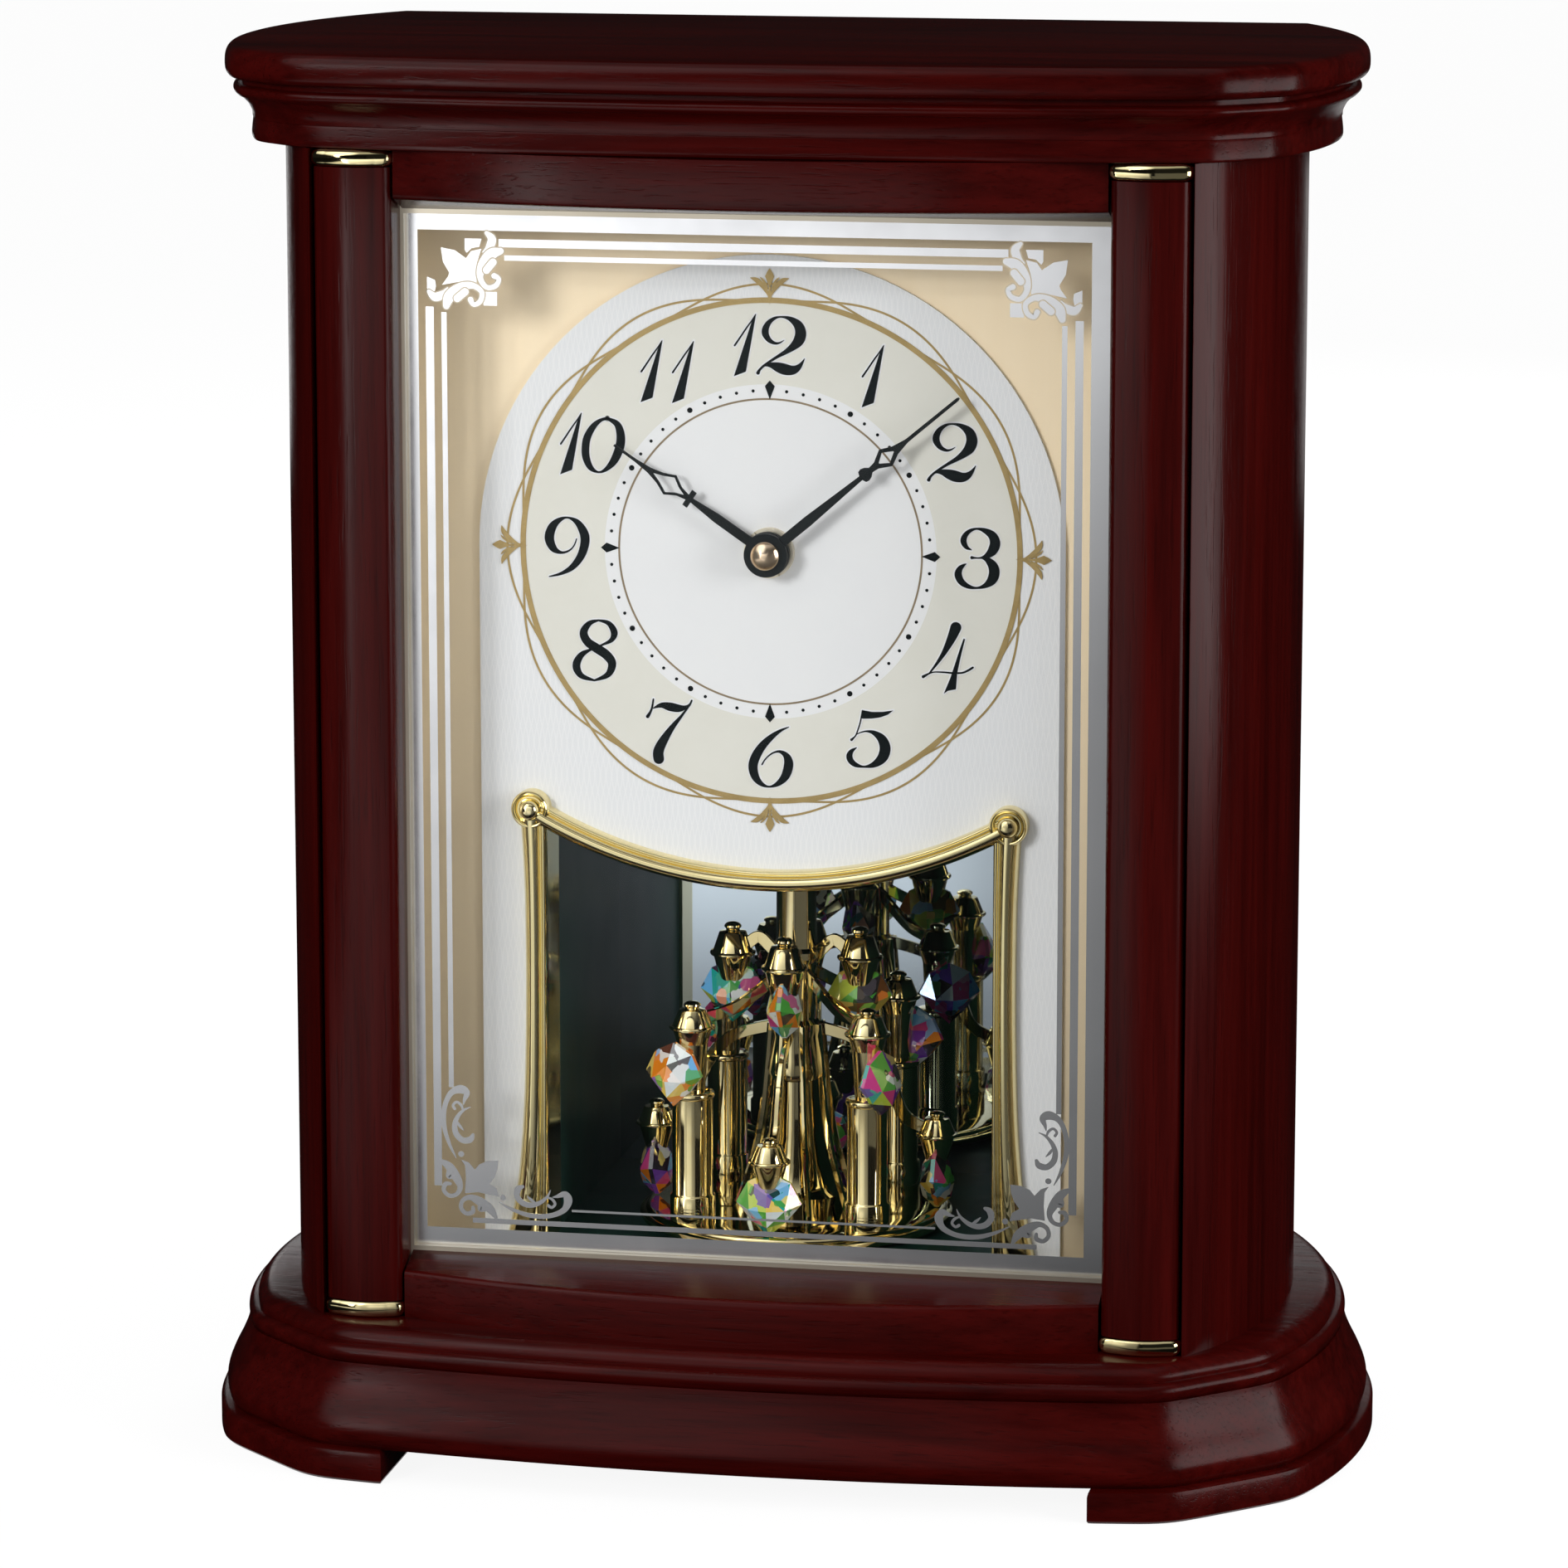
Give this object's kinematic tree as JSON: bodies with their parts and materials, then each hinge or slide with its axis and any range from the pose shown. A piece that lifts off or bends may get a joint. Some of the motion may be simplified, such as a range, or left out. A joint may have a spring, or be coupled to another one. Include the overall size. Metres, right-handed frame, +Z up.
{
  "type": "mantel clock",
  "caption": "Dark wooden mantel clock with bowed front, moulded base and cornice, arched dial behind glass and a turning crystal ornament in a mirrored chamber.",
  "frame": {"origin": "bottom centre of the clock's bounding box, on the surface it stands on", "axes": "+Z up, +Y towards the back, +X to the right as seen from the front"},
  "size_m": [0.2514, 0.1421, 0.299],
  "materials": {
    "dark_wood": "satin lacquer",
    "back_wood": "satin",
    "gold_metal": "polished",
    "gold_board": "satin",
    "dial_white": "satin",
    "clear_glass": "clear",
    "dark_hand": "satin",
    "chamber_black": "gloss",
    "mirror_silver": "mirror",
    "gold_plastic": "gold plated",
    "crystal": "cut crystal",
    "black_plastic": "matte",
    "white_plastic": "matte",
    "brass_works": "satin",
    "steel": "brushed",
    "battery_jacket": "gloss",
    "board_green": "matte",
    "copper_coil": "satin"
  },
  "bodies": {
    "case": {"back_cleats": "back_wood", "back_mirror": "mirror_silver", "back_panel": "back_wood", "base_plinth": "dark_wood", "battery": "battery_jacket", "battery_contacts": "steel", "bearing_plate": "white_plastic", "bottom_rail": "dark_wood", "bushing_nut": "gold_metal", "case_screws": "steel", "chamber_ceiling": "chamber_black", "chamber_floor": "chamber_black", "chamber_walls": "chamber_black", "circuit_board": "board_green", "cornice_moulding": "dark_wood", "dial_board": "gold_board", "dial_plate": "dial_white", "drive_block": "back_wood", "drive_motor": "steel", "floor_bush": "gold_metal", "foot_boards": "dark_wood", "front_frame": "gold_metal", "front_glass": "clear_glass", "hinge_pins": "steel", "left_pillar": "dark_wood", "left_side_panel": "dark_wood", "motor_coil": "copper_coil", "motor_cover": "black_plastic", "movement_case": "black_plastic", "movement_cover": "black_plastic", "pillar_bands": "gold_metal", "right_pillar": "dark_wood", "right_side_panel": "dark_wood", "switch_body": "black_plastic", "top_board": "dark_wood", "top_rail": "dark_wood", "trim_rosettes": "gold_metal", "window_trim": "gold_metal"},
    "minute_train": {"minute_hand": "dark_hand", "hand_cap": "gold_metal", "minute_arbor": "brass_works"},
    "hour_train": {"hour_hand": "dark_hand", "hour_wheel": "white_plastic"},
    "minute_wheel_body": {"minute_wheel": "white_plastic"},
    "third_wheel_body": {"third_wheel": "white_plastic"},
    "rotor_body": {"motor_rotor": "steel"},
    "setting_body": {"setting_knob": "white_plastic"},
    "ornament": {"turntable": "gold_plastic", "ornament_column": "gold_plastic", "ornament_pipes": "gold_plastic", "ornament_pendants": "gold_plastic", "ornament_arms": "gold_plastic", "ornament_crystals": "crystal", "ornament_shaft": "steel", "ornament_gear": "white_plastic"},
    "pinion_body": {"drive_pinion": "white_plastic"},
    "door_body": {"back_door": "back_wood", "door_knob": "gold_metal"},
    "switch_slider": {"ornament_switch": "black_plastic"}
  },
  "joints": [
    {"name": "minute_turn", "type": "hinge", "parent": "case", "child": "minute_train", "pos_m": [0, -0.023, 0.194], "axis": [0, 1, 0], "continuous": true},
    {"name": "hour_turn", "type": "hinge", "parent": "case", "child": "hour_train", "pos_m": [0, -0.023, 0.194], "axis": [0, 1, 0], "continuous": true},
    {"name": "minute_wheel_turn", "type": "hinge", "parent": "case", "child": "minute_wheel_body", "pos_m": [-0.012, -0.0166, 0.194], "axis": [0, 1, 0], "continuous": true},
    {"name": "third_wheel_turn", "type": "hinge", "parent": "case", "child": "third_wheel_body", "pos_m": [0.00765, -0.0136, 0.20312], "axis": [0, 1, 0], "continuous": true},
    {"name": "rotor_turn", "type": "hinge", "parent": "case", "child": "rotor_body", "pos_m": [0.01769, -0.0111, 0.20489], "axis": [0, 1, 0], "continuous": true},
    {"name": "setting_turn", "type": "hinge", "parent": "case", "child": "setting_body", "pos_m": [-0.01549, -0.0005, 0.20704], "axis": [0, 1, 0], "continuous": true},
    {"name": "ornament_turn", "type": "hinge", "parent": "case", "child": "ornament", "pos_m": [0, 0.007, 0.0436], "axis": [0, 0, 1], "continuous": true},
    {"name": "pinion_turn", "type": "hinge", "parent": "case", "child": "pinion_body", "pos_m": [0, 0.022, 0.0353], "axis": [0, 0, 1], "continuous": true},
    {"name": "door_swing", "type": "hinge", "parent": "case", "child": "door_body", "pos_m": [-0.041, 0.06795, 0.194], "axis": [0, 0, 1], "range_deg": [0, 110]},
    {"name": "switch_slide", "type": "slide", "parent": "case", "child": "switch_slider", "axis": [1, 0, 0], "range_m": [0, 0.005]}
  ],
  "couplings": [
    {"joint": "hour_turn", "follows": "minute_turn", "ratio": 0.083333},
    {"joint": "minute_wheel_turn", "follows": "minute_turn", "ratio": -0.33333},
    {"joint": "third_wheel_turn", "follows": "minute_turn", "ratio": -6},
    {"joint": "rotor_turn", "follows": "minute_turn", "ratio": 30},
    {"joint": "setting_turn", "follows": "minute_turn", "ratio": 0.66667},
    {"joint": "pinion_turn", "follows": "ornament_turn", "ratio": -4}
  ]
}
